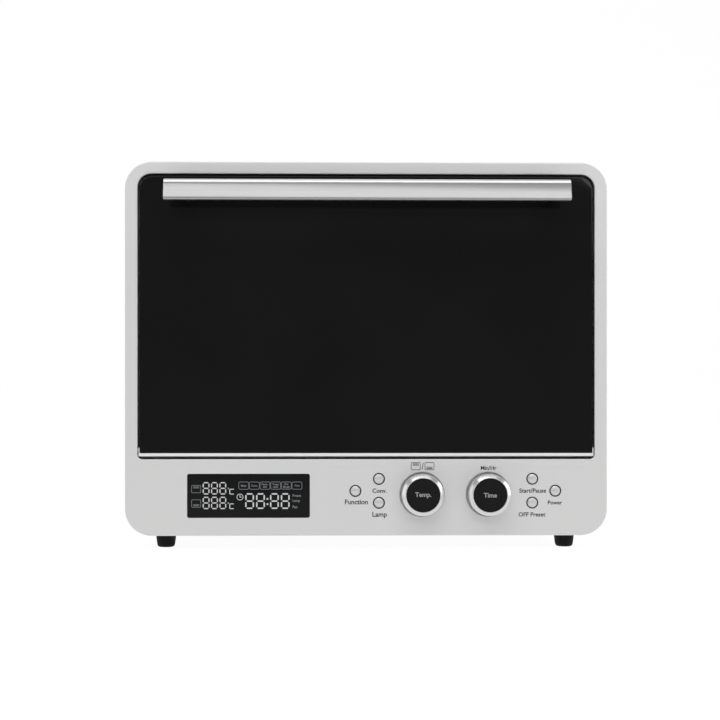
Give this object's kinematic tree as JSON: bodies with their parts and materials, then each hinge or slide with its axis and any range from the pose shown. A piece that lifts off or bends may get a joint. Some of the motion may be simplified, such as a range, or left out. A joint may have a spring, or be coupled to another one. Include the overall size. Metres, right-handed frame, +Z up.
{
  "type": "toaster oven",
  "caption": "Countertop toaster oven with a drop-down glass door, full-width bar handle, digital display, round knobs and push buttons, convection fan, rack and tray.",
  "frame": {"origin": "on the ground, below the middle of the oven's overall box", "axes": "+X to the user's right when facing the door, the door faces -Y, +Z up"},
  "size_m": [0.483, 0.412, 0.388],
  "materials": {
    "silver_paint": "satin silver paint",
    "fascia_silver": "satin silver paint",
    "galvanised": "bright galvanised sheet",
    "cavity_coat": "aluminised oven sheet",
    "black_glass": "dark tinted, glossy",
    "clear_glass": "clear heat-resistant glass",
    "lamp_glass": "clear domed glass",
    "black_enamel": "satin black enamel",
    "aluminium": "brushed, clear anodised",
    "turned_aluminium": "turned and polished",
    "steel": "zinc-plated",
    "chromed_wire": "bright chrome plate",
    "black_plastic": "fine matt texture",
    "gloss_black": "smooth satin",
    "rubber": "matt",
    "seal_rubber": "matt silicone",
    "ceramic": "white unglazed",
    "heater_tube": "oxidised dark steel",
    "circuit_board": "green solder mask",
    "lamination": "stacked laminations",
    "copper": "enamelled copper wire",
    "window": "dark tinted, glossy"
  },
  "bodies": {
    "casing": {"front_fascia": "fascia_silver", "outer_cover": "silver_paint", "rear_cover": "galvanised", "base_plate": "galvanised", "front_frame": "cavity_coat", "cavity_top": "cavity_coat", "cavity_bottom": "cavity_coat", "cavity_side_left": "cavity_coat", "cavity_side_right": "cavity_coat", "cavity_back": "cavity_coat", "fan_cover": "cavity_coat", "door_seal": "seal_rubber", "upper_heaters": "heater_tube", "lower_heaters": "heater_tube", "heater_insulators": "ceramic", "lamp_holder": "galvanised", "lamp_bulb": "clear_glass", "lamp_glass": "lamp_glass", "temperature_sensors": "steel", "motor_stator": "lamination", "motor_coil": "copper", "crumb_tray": "galvanised", "feet": "rubber", "rear_spacers": "rubber", "cord_gland": "black_plastic", "control_board": "circuit_board", "power_board": "circuit_board", "display_window": "window", "display_module": "black_plastic", "button_guides": "black_plastic", "encoder_bodies": "steel", "hinge_brackets": "galvanised", "hinge_pins": "steel", "hinge_springs": "steel", "casing_screws": "steel"},
    "door": {"outer_glass": "black_glass", "inner_glass": "clear_glass", "door_frame": "black_enamel", "door_trim": "aluminium", "handle_bar": "aluminium", "handle_back": "black_plastic", "handle_posts": "black_plastic", "door_screws": "steel", "hinge_levers": "steel"},
    "temp_plunger": {"temp_plunger": "black_plastic"},
    "temp_knob": {"temp_knob": "turned_aluminium", "temp_cap": "gloss_black"},
    "time_plunger": {"time_plunger": "black_plastic"},
    "time_knob": {"time_knob": "turned_aluminium", "time_cap": "gloss_black"},
    "fan": {"impeller": "aluminium", "cooling_fan": "aluminium", "motor_rotor": "steel"},
    "wire_rack": {"wire_rack": "chromed_wire"},
    "baking_tray": {"baking_tray": "black_enamel"},
    "button_function": {"button_function": "turned_aluminium"},
    "button_convection": {"button_convection": "turned_aluminium"},
    "button_lamp": {"button_lamp": "turned_aluminium"},
    "button_start_pause": {"button_start_pause": "turned_aluminium"},
    "button_preset": {"button_preset": "turned_aluminium"},
    "button_power": {"button_power": "turned_aluminium"}
  },
  "joints": [
    {"name": "door_swing", "type": "hinge", "parent": "casing", "child": "door", "pos_m": [0, -0.1644, 0.0991], "axis": [1, 0, 0], "range_deg": [0, 90], "stiffness_Nm_per_rad": 1.5, "springref_deg": -17.19, "deforming": ["hinge_springs"]},
    {"name": "temp_push", "type": "slide", "parent": "casing", "child": "temp_plunger", "axis": [0, 1, 0], "range_m": [0, 0.0005], "stiffness_N_per_m": 4000},
    {"name": "temp_turn", "type": "hinge", "parent": "temp_plunger", "child": "temp_knob", "pos_m": [0.0554, -0.182, 0.0554], "axis": [0, 1, 0], "continuous": true},
    {"name": "time_push", "type": "slide", "parent": "casing", "child": "time_plunger", "axis": [0, 1, 0], "range_m": [0, 0.0005], "stiffness_N_per_m": 4000},
    {"name": "time_turn", "type": "hinge", "parent": "time_plunger", "child": "time_knob", "pos_m": [0.1219, -0.182, 0.0554], "axis": [0, 1, 0], "continuous": true},
    {"name": "function_press", "type": "slide", "parent": "casing", "child": "button_function", "axis": [0, 1, 0], "range_m": [0, 0.001], "stiffness_N_per_m": 1500},
    {"name": "convection_press", "type": "slide", "parent": "casing", "child": "button_convection", "axis": [0, 1, 0], "range_m": [0, 0.001], "stiffness_N_per_m": 1500},
    {"name": "lamp_press", "type": "slide", "parent": "casing", "child": "button_lamp", "axis": [0, 1, 0], "range_m": [0, 0.001], "stiffness_N_per_m": 1500},
    {"name": "start_pause_press", "type": "slide", "parent": "casing", "child": "button_start_pause", "axis": [0, 1, 0], "range_m": [0, 0.001], "stiffness_N_per_m": 1500},
    {"name": "preset_press", "type": "slide", "parent": "casing", "child": "button_preset", "axis": [0, 1, 0], "range_m": [0, 0.001], "stiffness_N_per_m": 1500},
    {"name": "power_press", "type": "slide", "parent": "casing", "child": "button_power", "axis": [0, 1, 0], "range_m": [0, 0.001], "stiffness_N_per_m": 1500},
    {"name": "fan_spin", "type": "hinge", "parent": "casing", "child": "fan", "pos_m": [0, 0.138, 0.235], "axis": [0, 1, 0], "continuous": true},
    {"name": "rack_slide", "type": "slide", "parent": "casing", "child": "wire_rack", "axis": [0, -1, 0], "range_m": [0, 0.19]},
    {"name": "tray_slide", "type": "slide", "parent": "casing", "child": "baking_tray", "axis": [0, -1, 0], "range_m": [0, 0.096]}
  ],
  "couplings": [
    {"joint": "rack_slide", "follows": "door_swing", "m_per_rad": 0.12},
    {"joint": "tray_slide", "follows": "door_swing", "m_per_rad": 0.06}
  ]
}
